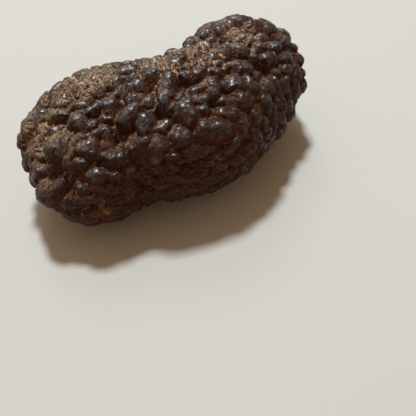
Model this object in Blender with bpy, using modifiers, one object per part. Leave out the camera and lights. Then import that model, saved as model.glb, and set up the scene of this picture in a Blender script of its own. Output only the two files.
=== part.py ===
"""Marcasite nodule: one solid lump of iron sulphide grown as crowded, blunt crystal knobs.

The lump is shaped like a peanut lying on its side. Its long axis is X, up is Z, and the
origin is under the middle of the lump, on the surface it rests on.

Lengths below are millimetres and angles are degrees. The finished mesh is in metres.
"""

import math

import bmesh
import bpy
import numpy as np
from mathutils import noise

METRE = 0.001  # one millimetre, in metres

# The body: four ellipsoids that all rest on the ground, melted together. They follow the
# tips of the knobs. Each is centre x, centre y, half-length, half-width and half-height.
LOBES = (
    (-19.5, -1.5, 16.0, 15.0, 14.5),
    (-14.0, 5.0, 21.5, 15.0, 15.5),
    (3.0, -3.5, 25.0, 18.0, 16.5),
    (20.5, 4.0, 17.0, 16.0, 16.0),
)
MELT = 1.1  # length over which two lobes run into each other
RELIEF = 1.6  # depth of the ground the knobs stand on, below the body's surface
FLAT_DEPTH = 0.4  # how much of the lowest knobs is worn away where the lump rests
ORIGIN = (0.4, -0.6, FLAT_DEPTH)  # middle of the finished underside, from the lobes' own zero

# Places on the body are given like places on a globe whose axis is X: latitude runs from
# -90 at the left end to 90 at the right end, and longitude is 0 at the back, 90 on top,
# 180 at the front and 270 underneath.
GLOBE_CENTRE = (0.0, 0.0, 16.0)
GLOBE_RADII = (36.0, 18.0, 16.0)
RAY_STEPS = 60  # steps outwards, each as long as the distance still to go

# The knobs that give the lump its look, from the left end to the right. Each is latitude,
# longitude, half-length, half-breadth, turn of its length from X and height.
KNOBS = (
    # Left end.
    (-72, 20, 2.8, 2.6, 0, 1.2), (-68, 188, 3.4, 3.0, 0, 2.7), (-63, 84, 2.1, 1.8, 0, 1.5),
    (-72, 119, 1.9, 1.4, 90, 1.5), (-66, 103, 1.2, 1.0, 0, 1.1), (-59, 195, 2.0, 1.5, 20, 1.4),
    (-58, 127, 1.6, 1.3, 0, 1.0), (-54, 86, 1.7, 1.5, 0, 1.3), (-51, 80, 1.9, 1.6, 0, 1.4),
    (-54, 188, 2.2, 1.6, 0, 1.3), (-51, 112, 3.3, 2.9, 10, 2.2), (-46, 115, 2.0, 1.3, -5, 1.7),
    (-54, 52, 2.7, 2.4, 0, 2.4), (-49, 180, 1.5, 1.2, 0, 1.1), (-47, 66, 2.4, 2.0, 0, 1.8),
    (-48, 93, 2.0, 1.6, 61, 1.5), (-46, 133, 2.0, 1.7, 60, 1.6), (-44, 166, 1.9, 1.2, 68, 1.3),
    (-43, 205, 2.6, 1.9, 0, 2.3), (-42, 82, 2.6, 2.2, 55, 2.1), (-43, 125, 2.6, 1.0, -44, 1.7),
    (-42, 138, 1.7, 1.5, 0, 1.3), (-42, 175, 2.4, 1.8, 0, 1.7), (-62, 210, 2.8, 2.3, 0, 1.5),
    (-50, 212, 2.8, 2.2, 0, 1.8), (-62, 42, 2.4, 2.0, 0, 2.4), (-74, 350, 2.4, 2.2, 0, 1.5),
    # Large left lobe.
    (-40, 46, 1.7, 1.4, 0, 1.3), (-37, 67, 1.3, 1.1, 0, 1.1), (-37, 101, 2.6, 2.3, 10, 2.0),
    (-38, 118, 1.5, 1.2, 0, 1.2), (-39, 164, 2.2, 1.7, 10, 1.5), (-38, 154, 2.4, 1.9, 10, 1.8),
    (-38, 129, 2.4, 2.8, -50, 2.2), (-32, 185, 1.8, 1.5, 0, 1.1), (-34, 97, 1.6, 1.0, 0, 1.5),
    (-36, 75, 2.8, 2.2, -5, 2.1), (-32, 144, 1.2, 1.2, 0, 1.2), (-33, 157, 1.9, 1.2, 25, 1.5),
    (-34, 167, 1.4, 1.1, 0, 0.9), (-34, 195, 2.2, 1.8, 0, 1.5), (-34, 57, 2.1, 1.7, 0, 1.1),
    (-33, 89, 2.0, 1.8, 0, 1.9), (-33, 110, 1.5, 1.8, 30, 1.6), (-33, 119, 1.5, 1.3, 0, 1.4),
    (-32, 133, 2.4, 1.8, 10, 1.1), (-33, 173, 1.5, 1.7, 30, 1.0), (-30, 98, 2.2, 1.4, -8, 1.8),
    (-30, 123, 1.9, 1.5, 90, 1.7), (-30, 145, 2.8, 2.0, 10, 1.9), (-28, 48, 2.9, 2.1, 0, 1.2),
    (-29, 87, 1.3, 1.1, 0, 1.3), (-28, 71, 2.4, 1.7, 0, 1.9), (-28, 81, 1.8, 1.1, 20, 1.4),
    (-28, 110, 1.5, 1.1, 20, 1.2), (-27, 162, 1.9, 1.6, 0, 1.1), (-24, 74, 1.4, 1.2, 0, 1.0),
    (-25, 100, 2.6, 2.1, 10, 2.1), (-24, 167, 1.5, 1.2, 0, 0.8), (-24, 190, 1.9, 1.4, 0, 1.0),
    (-24, 82, 1.7, 1.3, 0, 1.4), (-23, 143, 1.8, 2.1, 30, 1.6), (-21, 70, 2.0, 1.6, 0, 1.5),
    (-22, 60, 2.0, 1.6, 0, 1.6), (-22, 174, 1.8, 1.6, 0, 0.9), (-21, 116, 3.1, 2.1, -18, 2.0),
    (-21, 93, 1.5, 1.3, 0, 1.4), (-19, 140, 2.7, 2.2, -20, 2.0), (-18, 79, 2.3, 1.5, 25, 1.6),
    (-18, 90, 1.3, 1.1, 0, 1.3), (-18, 111, 1.5, 1.4, -18, 1.6), (-17, 182, 2.3, 1.5, 0, 1.0),
    (-17, 165, 1.8, 1.3, 0, 0.8), (-16, 107, 2.2, 1.9, 0, 1.8), (-16, 129, 2.9, 2.2, 120, 2.2),
    (-15, 147, 2.5, 2.3, 60, 2.2), (-15, 174, 1.8, 1.2, 0, 0.9), (-14, 80, 1.5, 1.2, 20, 1.2),
    (-14, 142, 1.5, 1.3, 0, 1.1), (-13, 55, 3.0, 1.7, 5, 1.2), (-13, 168, 1.8, 1.4, 0, 0.8),
    (-13, 96, 2.5, 1.7, 15, 1.8), (-11, 84, 1.6, 1.2, 0, 1.3), (-11, 72, 2.2, 1.4, 10, 1.4),
    (-12, 113, 1.8, 1.5, 0, 1.1), (-12, 137, 1.8, 1.5, 0, 1.2), (-11, 155, 1.9, 1.5, 10, 1.7),
    (-10, 177, 2.9, 1.2, 25, 1.0), (-8, 190, 3.0, 1.6, 25, 1.0), (-35, 211, 2.6, 2.0, 0, 1.6),
    (-27, 207, 2.4, 1.8, 0, 1.5), (-31, 52, 2.2, 1.8, 0, 1.6),
    # Middle and saddle.
    (-9, 58, 1.8, 1.4, 0, 0.9), (-8, 161, 1.5, 1.2, 0, 0.7), (-5, 126, 1.7, 1.3, 0, 1.5),
    (-6, 48, 1.8, 1.4, 0, 1.2), (-6, 118, 2.9, 1.9, -42, 2.3), (-4, 113, 2.6, 1.7, -43, 2.2),
    (-2, 107, 2.5, 1.7, -38, 2.1), (-6, 146, 2.6, 2.4, 21, 2.2), (-6, 175, 1.3, 1.2, 0, 1.0),
    (-5, 81, 2.2, 1.6, 10, 1.5), (-5, 95, 2.3, 2.0, 15, 2.0), (-1, 95, 1.4, 1.2, 0, 1.2),
    (-4, 180, 2.9, 1.6, 22, 1.1), (-3, 121, 1.7, 1.2, 10, 1.1), (-2, 133, 3.2, 2.2, 85, 2.4),
    (-3, 158, 2.9, 2.1, 10, 1.5), (-3, 172, 1.8, 1.5, 0, 0.9), (-2, 50, 2.4, 1.7, 0, 1.4),
    (0, 86, 1.8, 1.6, 0, 1.4), (4, 94, 1.9, 1.5, 0, 1.7), (0, 142, 2.0, 1.8, 60, 1.8),
    (-1, 169, 1.8, 1.3, 0, 1.0), (2, 64, 2.4, 1.6, 0, 0.7), (4, 103, 1.6, 1.3, 0, 1.3),
    (3, 108, 1.4, 1.2, 0, 1.4), (4, 128, 2.2, 1.5, 0, 1.5), (3, 135, 2.0, 1.9, 0, 1.7),
    (5, 122, 2.2, 1.1, 0, 1.5), (3, 187, 2.8, 1.5, -10, 1.0), (3, 164, 1.9, 1.6, 0, 1.0),
    (3, 177, 2.0, 1.5, 0, 1.0), (4, 148, 3.7, 2.2, 18, 2.4), (5, 169, 1.8, 1.2, -20, 0.9),
    (8, 111, 1.9, 1.5, 10, 1.8), (10, 115, 1.3, 1.0, 0, 1.2), (8, 162, 2.7, 2.0, -46, 1.9),
    (9, 100, 1.6, 1.2, 20, 1.5), (7, 76, 2.0, 1.6, 0, 1.6), (8, 85, 1.4, 1.2, 0, 1.3),
    (10, 60, 2.0, 1.6, 0, 0.9), (12, 106, 1.7, 1.4, 0, 1.4), (9, 125, 2.6, 1.9, -71, 1.9),
    (10, 144, 2.8, 2.1, 10, 2.0), (12, 154, 2.8, 2.3, -55, 1.9), (11, 136, 2.2, 1.3, 30, 1.5),
    (13, 114, 1.7, 1.5, 60, 1.7), (13, 124, 1.2, 1.1, 0, 1.3), (14, 174, 2.6, 2.0, 0, 1.6),
    # Round right lobe.
    (17, 108, 1.6, 1.2, 0, 1.4), (17, 139, 2.6, 2.4, 20, 2.1), (17, 167, 2.5, 2.1, 60, 1.6),
    (17, 55, 1.8, 1.5, 0, 0.9), (19, 77, 2.1, 1.7, 0, 1.7), (17, 98, 1.7, 1.4, 10, 1.5),
    (17, 127, 2.4, 2.0, 20, 1.9), (19, 112, 1.6, 1.4, 0, 1.4), (19, 38, 2.0, 1.7, 0, 0.9),
    (19, 153, 2.2, 1.8, -20, 1.9), (20, 180, 2.2, 1.4, 60, 1.4), (23, 52, 2.6, 1.8, 0, 1.1),
    (22, 64, 1.7, 1.2, 10, 1.2), (22, 75, 1.5, 1.2, 0, 1.3), (23, 94, 2.4, 1.7, 10, 2.0),
    (22, 161, 2.2, 1.3, 90, 1.5), (23, 172, 2.0, 1.5, -30, 1.4), (24, 117, 2.7, 2.0, 15, 2.1),
    (23, 133, 2.8, 2.4, 50, 2.2), (27, 67, 2.8, 1.9, 10, 1.7), (26, 85, 2.0, 1.6, 30, 1.6),
    (26, 146, 2.6, 2.3, 40, 2.0), (26, 181, 1.9, 1.5, 0, 1.3), (26, 140, 2.0, 1.4, -10, 1.8),
    (28, 89, 1.4, 1.3, 0, 1.3), (28, 99, 2.6, 2.2, 20, 2.1), (29, 161, 2.8, 1.3, 90, 1.6),
    (29, 83, 1.4, 1.3, 0, 1.3), (31, 88, 1.4, 1.2, 0, 1.2), (29, 171, 2.0, 1.1, 90, 1.4),
    (32, 66, 2.4, 1.8, 10, 1.6), (33, 52, 2.5, 1.7, 0, 1.0), (33, 94, 1.7, 1.4, 0, 1.3),
    (32, 109, 1.6, 1.4, 0, 1.4), (33, 139, 2.2, 2.0, 30, 1.7), (33, 192, 1.8, 1.6, 0, 1.8),
    (36, 95, 1.4, 1.2, 0, 1.2), (37, 76, 2.4, 1.8, 0, 1.5), (36, 103, 1.8, 1.6, 0, 1.5),
    (38, 113, 2.3, 1.9, -10, 1.6), (38, 55, 1.8, 1.5, 0, 0.8), (36, 164, 2.2, 1.0, 90, 1.4),
    (40, 143, 2.6, 1.3, 90, 1.5), (42, 166, 2.2, 1.2, 90, 1.4), (39, 184, 2.6, 1.4, 90, 1.5),
    (42, 114, 1.6, 1.6, 0, 1.4), (44, 104, 1.8, 1.8, 0, 1.5), (44, 78, 2.4, 2.0, 0, 1.4),
    (47, 62, 2.5, 1.8, 0, 1.1), (48, 147, 2.6, 1.7, 90, 1.6), (49, 159, 2.2, 1.2, 90, 1.5),
    (49, 178, 2.2, 1.6, 90, 1.5), (50, 117, 2.4, 2.0, 0, 1.6), (49, 129, 2.2, 1.9, 0, 1.5),
    (55, 80, 2.6, 2.2, 0, 1.7), (53, 92, 2.0, 1.8, 0, 1.6), (59, 65, 2.3, 1.9, 0, 1.4),
    (58, 164, 2.8, 1.7, 90, 1.6), (61, 143, 2.2, 1.8, 90, 1.6), (65, 95, 2.0, 1.6, 0, 1.5),
    (68, 118, 2.1, 1.7, 0, 2.0), (70, 150, 2.1, 1.7, 0, 1.7), (68, 180, 2.1, 1.8, 0, 2.0),
    (50, 203, 2.2, 1.8, 0, 2.0), (40, 200, 2.2, 1.8, 0, 2.1),
)

# Hollows with no knobs in them, the wide bare one at the left end first: latitude,
# longitude, radius and depth.
HOLLOWS = (
    (-56, 153, 3.8, 0.5), (-50, 70, 0.9, 0.6), (-36, 181, 1.1, 0.5), (-11, 146, 1.0, 0.5),
    (2, 156, 1.1, 0.6), (18, 118, 1.0, 0.5), (37, 124, 1.0, 0.6), (-26, 92, 0.8, 0.4),
)

# The knobs between those are scattered in rounds, each with smaller ones that fit the gaps
# that are left. Each round is a share of the usual size and a number of tries.
FILL_ROUNDS = ((1.0, 2500), (0.75, 2500))
FILL_SEED = 11
SPACING = 0.76  # centre distance of two knobs, as a share of their summed sizes
OVERLAP = 1.5  # how much larger a knob is drawn than the room it asks for
USUAL_SIZE = 1.85  # size of a scattered knob at the middle of the lump
SIZE_RANGE = (0.82, 1.22)
STRETCH_RANGE = (1.0, 1.2)
LEFT_GROWTH = 0.009  # how much larger, per degree of latitude towards the left end
SMALL_PLACE = (22, 60)  # latitude and longitude of the patch where knobs are small
SMALL_REACH = 45.0
SMALL_BY = 0.5
HEIGHT_RANGE = (0.48, 0.69)  # height of a scattered knob, as a share of its size

# Form of one knob: a few steep, uneven sides capped by gentler faces, with all edges worn.
SIDES = (4, 6)
SIDE_SHIFT = 0.3  # how far a side is turned from its even place, in steps between sides
SIDE_REACH = (0.78, 1.3)  # how far a side stands from the tip, as a share of the size
STEEP = 1.45  # how much steeper the sides are than a straight line from foot to tip
TOPS = (2, 3)  # number of faces in the cap; two meet in a ridge along the knob
TOP_SHIFT = 0.1  # how far a face of the cap is turned from its even place
TOP_SLOPE = (0.3, 0.65)  # how far the cap falls from the tip to the foot, as a share of the height
RIDGE = 0.8  # how much of a long knob's extra length is a level ridge
KNOB_REACH = 1.5  # nothing of a knob lies farther out than this many sizes
WEAR = (12.0, 24.0)  # how crisp the edges between the faces are
FOOT = 0.65  # how far a knob's sides run on down below the height given for it
CREASE = 0.6  # how far the crease between two knobs is cut below where they would meet
CREASE_WIDTH = 0.3  # difference in height over which the crease fades
WARPS = ((0.45, 2.6), (0.15, 1.1))  # how far outlines wander, and over what length
WARP_SEED = 1  # any fixed number but 0, which would give another shape every time
CHOSEN_GROWTH = 1.3  # how much larger a chosen knob's foot is than the part of it that shows

SKIN_VOXEL = 0.42
TRIANGLES = 9800
SETTLE = 0.05  # points this close to the ground are pressed flat on it

NODULE_NAME = "nodule"
MATERIAL_NAME = "marcasite"
SURFACE_COLOUR = (0.075, 0.058, 0.048, 1.0)
SURFACE_ROUGHNESS = 0.55
SURFACE_METAL = 0.3


def body_field(points):
    """About how far points are outside the body: negative inside, zero on its surface."""
    lobes = np.array(LOBES)
    centres = lobes[:, [0, 1, 4]]
    radii = lobes[:, 2:5]
    size = np.cbrt(radii.prod(axis=1))
    offset = (points[:, None, :] - centres) / radii
    distance = (np.linalg.norm(offset, axis=2) - 1.0) * size
    return -MELT * np.log(np.exp(-distance / MELT).sum(axis=1))


def body_slope(points, step=0.01):
    """Gradient of body_field."""
    steps = np.eye(3) * step
    sides = [body_field(points + s) - body_field(points - s) for s in steps]
    return np.stack(sides, axis=1) / (2.0 * step)


def unit(vectors):
    return vectors / np.linalg.norm(vectors, axis=-1, keepdims=True)


def onto_body(points, level, rounds=6):
    """Points moved along the slope until the body field has this level there."""
    points = points.copy()
    for _ in range(rounds):
        slope = body_slope(points)
        steepness = (slope**2).sum(axis=1, keepdims=True)
        points -= (body_field(points) - level)[:, None] * slope / steepness
    return points


def globe_direction(latitude, longitude):
    lat, lon = math.radians(latitude), math.radians(longitude)
    ring = math.cos(lat)
    spot = (math.sin(lat), ring * math.cos(lon), ring * math.sin(lon))
    return unit(np.array(spot) * GLOBE_RADII)


def place_on_body(latitude, longitude, level=0.0):
    """Where a line from the globe's centre leaves the body."""
    direction = globe_direction(latitude, longitude)
    spot = np.array(GLOBE_CENTRE)
    for _ in range(RAY_STEPS):
        spot -= (body_field(spot[None])[0] - level) * direction
    return spot


def globe_angles(points):
    """Latitude and longitude of points."""
    spot = unit((points - GLOBE_CENTRE) / GLOBE_RADII)
    latitude = np.degrees(np.arcsin(spot[:, 0]))
    longitude = np.degrees(np.arctan2(spot[:, 2], spot[:, 1])) % 360.0
    return latitude, longitude


def face_angles(count, shift, rng):
    """Directions that the faces round a knob look in, each a little off its even place."""
    return (np.arange(count) + rng.uniform(-shift, shift, count)) * 2.0 * math.pi / count


def knob_form(centre, normal, length, breadth, turn, height, rng):
    """One knob: where it stands, its two axes, its steep sides and the faces of its cap."""
    along = unit(np.array((1.0, 0.0, 0.0)) - normal * normal[0])
    around = np.cross(along, normal)
    turn = math.radians(turn)
    axis = along * math.cos(turn) + around * math.sin(turn)
    side_count = int(rng.integers(SIDES[0], SIDES[1] + 1))
    sides = rng.uniform(0.0, math.pi) + face_angles(side_count, SIDE_SHIFT, rng)
    top_count = int(rng.integers(TOPS[0], TOPS[1] + 1))
    tops = math.pi / 2.0 + face_angles(top_count, TOP_SHIFT, rng)
    return {
        "centre": centre,
        "axes": np.stack((axis / length, np.cross(axis, normal) / breadth), axis=1),
        "sides": np.stack((np.cos(sides), np.sin(sides))) / rng.uniform(*SIDE_REACH, side_count),
        "tops": np.stack((np.cos(tops), np.sin(tops))) * rng.uniform(*TOP_SLOPE, top_count),
        "ridge": RIDGE * max(0.0, 1.0 - breadth / length),
        "wear": rng.uniform(*WEAR),
        "reach": KNOB_REACH * max(length, breadth),
        "size": math.sqrt(length * breadth),
        "height": height + FOOT,
    }


def chosen_knobs(rng):
    tips = np.array([place_on_body(latitude, longitude) for latitude, longitude, *_ in KNOBS])
    centres = onto_body(tips, -RELIEF)
    normals = unit(body_slope(centres))
    knobs = []
    for centre, normal, (*_, length, breadth, turn, height) in zip(centres, normals, KNOBS):
        length, breadth = CHOSEN_GROWTH * length, CHOSEN_GROWTH * breadth
        knobs.append(knob_form(centre, normal, length, breadth, turn, height, rng))
    return knobs


def usual_size(latitude, longitude):
    """Half-length of a scattered knob, by where it stands."""
    away = np.hypot(latitude - SMALL_PLACE[0], (longitude - SMALL_PLACE[1] + 180) % 360 - 180)
    small = SMALL_BY * np.exp(-((away / SMALL_REACH) ** 2))
    return USUAL_SIZE - LEFT_GROWTH * latitude - small


def scattered_knobs(knobs, rng):
    """Knobs at random places on the body, wherever they keep clear of those already there."""
    centres = [knob["centre"] for knob in knobs]
    sizes = [knob["size"] for knob in knobs]
    for latitude, longitude, radius, _ in HOLLOWS:
        centres.append(place_on_body(latitude, longitude, -RELIEF))
        sizes.append(radius)
    scattered = []
    for share, tries in FILL_ROUNDS:
        spots = GLOBE_CENTRE + unit(rng.normal(size=(tries, 3))) * GLOBE_RADII
        spots = onto_body(spots, -RELIEF)
        normals = unit(body_slope(spots))
        wanted = share * usual_size(*globe_angles(spots)) * rng.uniform(*SIZE_RANGE, tries)
        for spot, normal, size in zip(spots, normals, wanted):
            gaps = np.linalg.norm(np.array(centres) - spot, axis=1)
            if (gaps < SPACING * (np.array(sizes) + size)).any():
                continue
            stretch = rng.uniform(*STRETCH_RANGE)
            length, breadth = OVERLAP * size * stretch, OVERLAP * size / stretch
            height = size * rng.uniform(*HEIGHT_RANGE)
            turn = rng.uniform(0.0, 180.0)
            scattered.append(knob_form(spot, normal, length, breadth, turn, height, rng))
            centres.append(spot)
            sizes.append(size)
    return scattered


def wandered(points):
    """Points shifted by slow noise, so that outlines of knobs come out irregular."""
    noise.seed_set(WARP_SEED)
    warped = points.copy()
    for amount, length in WARPS:
        warped += amount * np.array([noise.noise_vector(p) for p in points / length])
    return warped


def relief(points, knobs):
    """Height of the ground over each point of the skin: the tallest knob there."""
    ground = np.zeros(len(points))
    second = np.full(len(points), -np.inf)
    for latitude, longitude, radius, depth in HOLLOWS:
        gap = np.linalg.norm(points - place_on_body(latitude, longitude, -RELIEF), axis=1)
        ground -= depth * np.exp(-((gap / radius) ** 4))
    points = wandered(points)
    order = np.argsort(points[:, 0])
    sorted_x = points[order, 0]
    for knob in knobs:
        middle, reach = knob["centre"][0], knob["reach"]
        first, last = np.searchsorted(sorted_x, (middle - reach, middle + reach))
        near = order[first:last]
        offset = points[near] - knob["centre"]
        inside = (offset**2).sum(axis=1) < reach**2
        near, offset = near[inside], offset[inside]
        spot = offset @ knob["axes"]
        past_ridge = np.maximum(np.abs(spot[:, 0]) - knob["ridge"], 0.0)
        spot[:, 0] = np.sign(spot[:, 0]) * past_ridge / (1.0 - knob["ridge"])
        sides = STEEP * (1.0 - spot @ knob["sides"])
        tops = 1.0 - spot @ knob["tops"]
        wear = knob["wear"]
        lowest = np.exp(-wear * np.hstack((sides, tops))).sum(axis=1) / tops.shape[1]
        height = knob["height"] * np.clip(-np.log(lowest) / wear, 0.0, 1.0)
        second[near] = np.maximum(second[near], np.minimum(ground[near], height))
        ground[near] = np.maximum(ground[near], height)
    return ground - CREASE * np.exp((second - ground) / CREASE_WIDTH)


def clear_scene():
    for obj in list(bpy.data.objects):
        bpy.data.objects.remove(obj, do_unlink=True)


def lobes_object():
    """The lobes as overlapping spheres in one mesh, still in millimetres."""
    bm = bmesh.new()
    for x, y, *radii in LOBES:
        made = bmesh.ops.create_icosphere(bm, subdivisions=4, radius=1.0)
        bmesh.ops.scale(bm, vec=radii, verts=made["verts"])
        bmesh.ops.translate(bm, vec=(x, y, radii[2]), verts=made["verts"])
    mesh = bpy.data.meshes.new(NODULE_NAME)
    bm.to_mesh(mesh)
    bm.free()
    return bpy.data.objects.new(NODULE_NAME, mesh)


def apply_modifier(obj, kind, **settings):
    """Adds a modifier, keeps its result as the mesh, and removes it."""
    modifier = obj.modifiers.new(kind.title(), kind)
    for name, value in settings.items():
        setattr(modifier, name, value)
    graph = bpy.context.evaluated_depsgraph_get()
    mesh = bpy.data.meshes.new_from_object(obj.evaluated_get(graph))
    obj.modifiers.clear()
    old, obj.data = obj.data, mesh
    bpy.data.meshes.remove(old)


def points_of(mesh):
    points = np.empty(len(mesh.vertices) * 3)
    mesh.vertices.foreach_get("co", points)
    return points.reshape(-1, 3)


def set_points(mesh, points):
    mesh.vertices.foreach_set("co", points.ravel())
    mesh.update()


def surface_material():
    material = bpy.data.materials.new(MATERIAL_NAME)
    material.use_nodes = True
    shader = material.node_tree.nodes["Principled BSDF"]
    shader.inputs["Base Color"].default_value = SURFACE_COLOUR
    shader.inputs["Roughness"].default_value = SURFACE_ROUGHNESS
    shader.inputs["Metallic"].default_value = SURFACE_METAL
    return material


def make_nodule():
    collection = bpy.data.collections.new("Marcasite nodule")
    bpy.context.scene.collection.children.link(collection)
    obj = lobes_object()
    collection.objects.link(obj)
    apply_modifier(obj, "REMESH", mode="VOXEL", voxel_size=SKIN_VOXEL)

    skin = onto_body(points_of(obj.data), -RELIEF)
    rng = np.random.default_rng(FILL_SEED)
    knobs = chosen_knobs(rng)
    knobs += scattered_knobs(knobs, rng)
    points = skin + unit(body_slope(skin)) * relief(skin, knobs)[:, None]
    points[:, 2] = np.maximum(points[:, 2], FLAT_DEPTH)
    set_points(obj.data, points)

    apply_modifier(obj, "TRIANGULATE")
    share = TRIANGLES / len(obj.data.polygons)
    apply_modifier(obj, "DECIMATE", decimate_type="COLLAPSE", ratio=share)
    points = points_of(obj.data)
    points[points[:, 2] < FLAT_DEPTH + SETTLE, 2] = FLAT_DEPTH
    set_points(obj.data, (points - ORIGIN) * METRE)

    obj.data.materials.clear()
    obj.data.materials.append(surface_material())
    obj.data.shade_smooth()
    return obj


if __name__ == "__main__":
    clear_scene()
    make_nodule()
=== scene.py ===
"""Looks of the marcasite nodule, with its crowded knobs and its creases of dust and rust that also
carry painted light and shade, and its stage.

Lengths in the sculpting functions are millimetres and angles are degrees. Meshes are in metres.
"""

import math

import bmesh
import bpy
import numpy as np
from bpy.props import FloatProperty, FloatVectorProperty, IntProperty, PointerProperty
from mathutils import Matrix, Vector, noise


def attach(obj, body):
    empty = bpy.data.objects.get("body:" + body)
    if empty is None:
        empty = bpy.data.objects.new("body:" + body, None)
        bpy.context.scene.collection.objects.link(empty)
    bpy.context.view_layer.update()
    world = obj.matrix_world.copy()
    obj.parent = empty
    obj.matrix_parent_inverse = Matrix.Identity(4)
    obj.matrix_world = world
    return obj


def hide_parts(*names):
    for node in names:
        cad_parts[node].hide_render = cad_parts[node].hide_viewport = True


bl_info = {
    "name": "Marcasite Nodule",
    "version": (1, 0, 0),
    "blender": (4, 5, 0),
    "location": "3D View > Sidebar > Nodule",
    "description": "Builds a knobby marcasite nodule and a plain stage for it",
    "category": "Add Mesh",
}

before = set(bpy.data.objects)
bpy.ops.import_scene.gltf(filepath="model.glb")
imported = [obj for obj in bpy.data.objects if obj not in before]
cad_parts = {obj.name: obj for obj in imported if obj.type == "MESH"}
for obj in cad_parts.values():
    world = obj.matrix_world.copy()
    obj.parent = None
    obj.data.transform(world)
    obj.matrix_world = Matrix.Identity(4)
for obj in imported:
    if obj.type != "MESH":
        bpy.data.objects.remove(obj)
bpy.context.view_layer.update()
NODE = "nodule"
BODY = "root"
METRE = 0.001  # one millimetre, in metres

# ---------------------------------------------------------------------------------------
# Form of the nodule. These values and the functions that use them are the solid's own.
# ---------------------------------------------------------------------------------------
# The body: four ellipsoids that all rest on the ground, melted together. They follow the
# tips of the knobs. Each is centre x, centre y, half-length, half-width and half-height.
LOBES = (
    (-19.5, -1.5, 16.0, 15.0, 14.5),
    (-14.0, 5.0, 21.5, 15.0, 15.5),
    (3.0, -3.5, 25.0, 18.0, 16.5),
    (20.5, 4.0, 17.0, 16.0, 16.0),
)
MELT = 1.1  # length over which two lobes run into each other
RELIEF = 1.6  # depth of the ground the knobs stand on, below the body's surface
FLAT_DEPTH = 0.4  # how much of the lowest knobs is worn away where the lump rests
ORIGIN = (0.4, -0.6, FLAT_DEPTH)  # middle of the finished underside, from the lobes' own zero

# Places on the body are given like places on a globe whose axis is X: latitude runs from
# -90 at the left end to 90 at the right end, and longitude is 0 at the back, 90 on top,
# 180 at the front and 270 underneath.
GLOBE_CENTRE = (0.0, 0.0, 16.0)
GLOBE_RADII = (36.0, 18.0, 16.0)
RAY_STEPS = 60  # steps outwards, each as long as the distance still to go

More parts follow.
